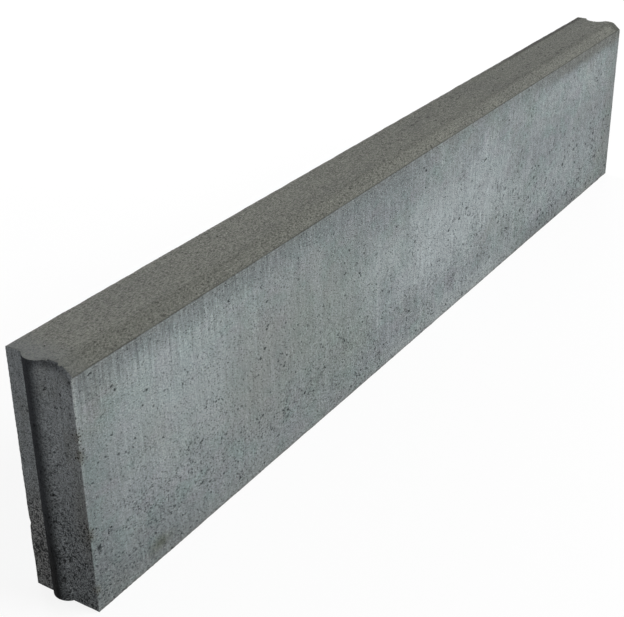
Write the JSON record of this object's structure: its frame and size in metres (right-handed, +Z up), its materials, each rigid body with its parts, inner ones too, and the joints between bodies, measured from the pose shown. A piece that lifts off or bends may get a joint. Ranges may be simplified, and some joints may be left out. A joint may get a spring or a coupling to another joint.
{
  "type": "concrete kerb stone",
  "caption": "Long slim concrete kerb that stands on edge, with a chamfered front top edge and a rounded tongue and groove at its ends to line up with the next kerb.",
  "frame": {"origin": "on the bed, under the middle of the bounding box, which includes the tongue", "axes": "+X along the kerb from the tongue to the groove, +Y from the chamfered front to the back, +Z up"},
  "size_m": [1.005, 0.06, 0.2],
  "materials": {
    "concrete": "dry-pressed grey concrete, sandy on top, with drag streaks and small pores on the faces that the mould slid over"
  },
  "bodies": {
    "root": {"kerb_stone": "concrete"}
  },
  "joints": []
}
